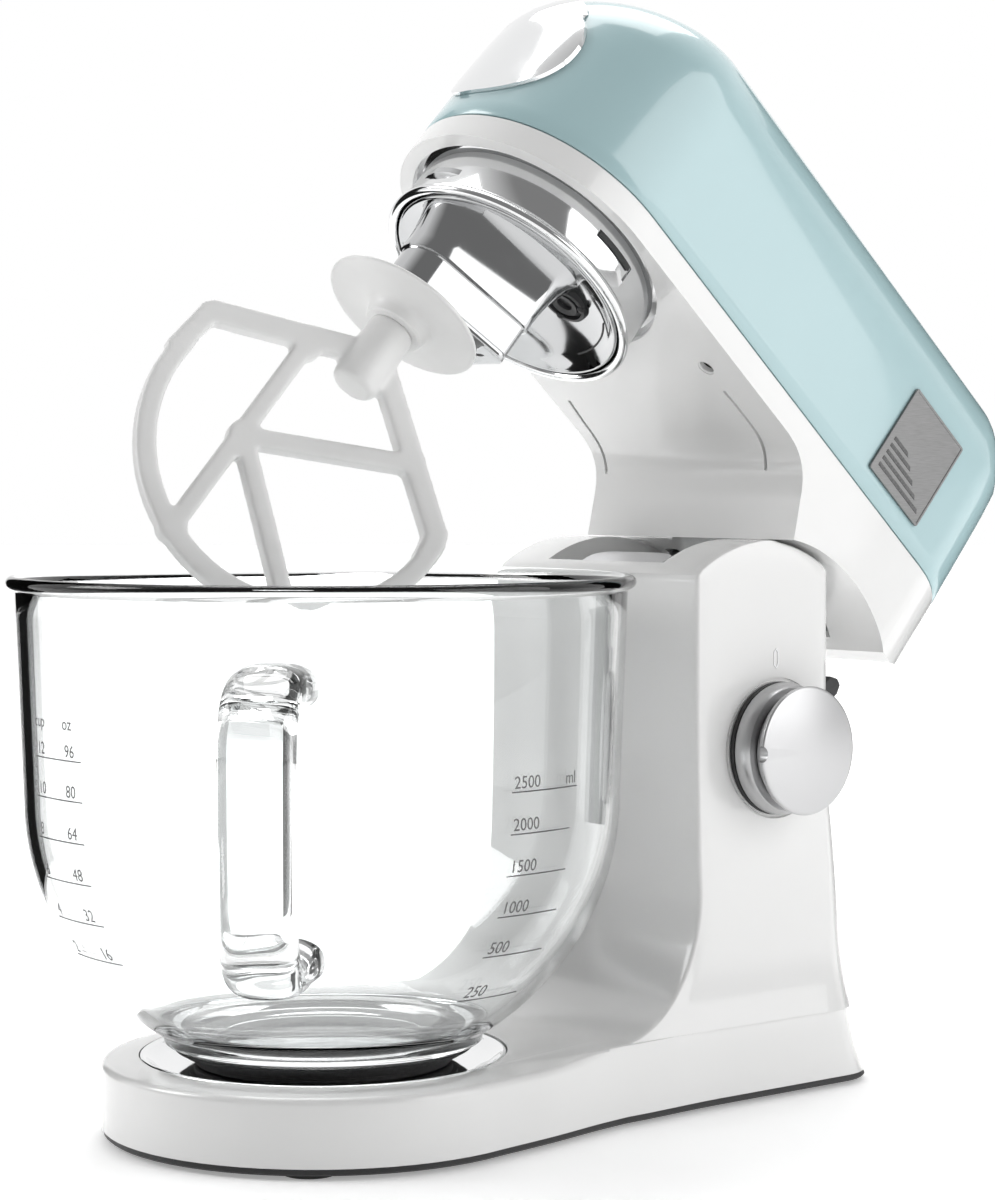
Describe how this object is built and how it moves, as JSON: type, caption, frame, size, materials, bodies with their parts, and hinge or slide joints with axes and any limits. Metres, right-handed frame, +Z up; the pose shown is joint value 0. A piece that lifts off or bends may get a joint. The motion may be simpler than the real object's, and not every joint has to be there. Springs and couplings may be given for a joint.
{
  "type": "tilt-head stand mixer",
  "caption": "Tilt-head stand mixer with its head raised, a clear glass bowl with a handle, a K-shaped beater on a planetary hub, a side speed knob and the drive train inside.",
  "frame": {"origin": "on the table, under the bowl's axis", "axes": "+Z up, -Y towards the nose of the mixer, +X towards the speed knob"},
  "size_m": [0.2313, 0.4404, 0.4267],
  "materials": {
    "gloss_white": "gloss white enamel",
    "aqua_enamel": "gloss pale aqua enamel",
    "chrome": "polished",
    "satin_silver": "satin",
    "coated_beater": "matte pale grey coating",
    "clear_glass": "clear",
    "black_rubber": "matte",
    "black_plastic": "fine texture",
    "bright_steel": "ground",
    "cast_aluminium": "as cast",
    "bronze": "machined",
    "copper_windings": "varnished windings",
    "circuit_board": "solder mask",
    "acetal_gear": "greased"
  },
  "bodies": {
    "stand": {"stand_housing": "gloss_white", "bottom_cover": "black_plastic", "foot_front_left": "black_rubber", "foot_front_right": "black_rubber", "foot_rear_left": "black_rubber", "foot_rear_right": "black_rubber", "bowl_seat": "chrome", "hinge_pin": "bright_steel", "hinge_bush_left": "bronze", "hinge_bush_right": "bronze", "slot_cover": "satin_silver", "control_board": "circuit_board", "board_capacitor": "black_plastic", "speed_control": "black_plastic", "cord_inlet": "black_plastic", "lever_spring": "bright_steel"},
    "bowl_base": {"bowl_foot": "black_rubber"},
    "bowl": {"glass_bowl": "clear_glass", "bowl_handle": "clear_glass"},
    "head": {"head_cover": "aqua_enamel", "head_underbody": "gloss_white", "badge_plate": "satin_silver", "hub_ring": "chrome", "ring_gear": "acetal_gear", "head_chassis": "cast_aluminium", "gearbox_case": "cast_aluminium", "drive_belt": "black_rubber", "motor_stator": "copper_windings", "motor_bracket_front": "cast_aluminium", "motor_bracket_rear": "cast_aluminium", "motor_bearing_front": "bright_steel", "motor_bearing_rear": "bright_steel", "outlet_bearing": "bronze"},
    "nose": {"nose_cover": "chrome"},
    "hub": {"planet_carrier": "chrome", "main_shaft": "bright_steel", "worm_wheel": "bronze", "bevel_gear": "bright_steel"},
    "spindle": {"tool_spindle": "bright_steel", "planet_gear": "acetal_gear"},
    "beater": {"k_beater": "coated_beater", "beater_collar": "coated_beater"},
    "worm": {"worm_shaft": "bright_steel", "driven_pulley": "black_plastic"},
    "motor": {"motor_rotor": "bright_steel", "motor_pulley": "black_plastic", "motor_fan": "black_plastic"},
    "outlet": {"outlet_shaft": "bright_steel"},
    "knob": {"knob_shaft": "bright_steel", "knob_dial": "satin_silver", "speed_knob": "satin_silver"},
    "lever": {"release_lever": "black_plastic"}
  },
  "joints": [
    {"name": "head_tilt", "type": "hinge", "parent": "stand", "child": "head", "pos_m": [0, 0.172, 0.1507], "axis": [1, 0, 0], "range_deg": [0, 42]},
    {"name": "bowl_turn", "type": "hinge", "parent": "stand", "child": "bowl_base", "pos_m": [0, 0, 0.03], "axis": [0, 0, 1], "range_deg": [-20, 0]},
    {"name": "bowl_lift", "type": "slide", "parent": "bowl_base", "child": "bowl", "axis": [0, 0, -1], "range_m": [-0.015, 0]},
    {"name": "knob_turn", "type": "hinge", "parent": "stand", "child": "knob", "pos_m": [0.0588, 0.1763, 0.136], "axis": [-1, 0, 0], "range_deg": [-30, 230]},
    {"name": "lever_press", "type": "slide", "parent": "stand", "child": "lever", "axis": [0, -1, 0], "range_m": [0, 0.004], "stiffness_N_per_m": 300},
    {"name": "nose_slide", "type": "slide", "parent": "head", "child": "nose", "axis": [0, -0.7431, 0.6691], "range_m": [0, 0.02]},
    {"name": "hub_turn", "type": "hinge", "parent": "head", "child": "hub", "pos_m": [0, 0.11062, 0.33959], "axis": [0, 0.6691, 0.7431], "continuous": true},
    {"name": "spindle_turn", "type": "hinge", "parent": "hub", "child": "spindle", "pos_m": [0, 0.05562, 0.32183], "axis": [0, 0.6691, 0.7431], "continuous": true},
    {"name": "beater_release", "type": "slide", "parent": "spindle", "child": "beater", "axis": [0, 0.6691, 0.7431], "range_m": [-0.012, 0]},
    {"name": "worm_turn", "type": "hinge", "parent": "head", "child": "worm", "pos_m": [-0.031, 0.14188, 0.34441], "axis": [0, 0.7431, -0.6691], "continuous": true},
    {"name": "motor_turn", "type": "hinge", "parent": "head", "child": "motor", "pos_m": [0, 0.22991, 0.29273], "axis": [0, 0.7431, -0.6691], "continuous": true},
    {"name": "outlet_turn", "type": "hinge", "parent": "head", "child": "outlet", "pos_m": [0, 0.11067, 0.39942], "axis": [0, 0.7431, -0.6691], "continuous": true}
  ],
  "couplings": [
    {"joint": "spindle_turn", "follows": "hub_turn", "ratio": -2.7059},
    {"joint": "worm_turn", "follows": "hub_turn", "ratio": 15},
    {"joint": "motor_turn", "follows": "hub_turn", "ratio": 37.5},
    {"joint": "outlet_turn", "follows": "hub_turn", "ratio": 1}
  ]
}
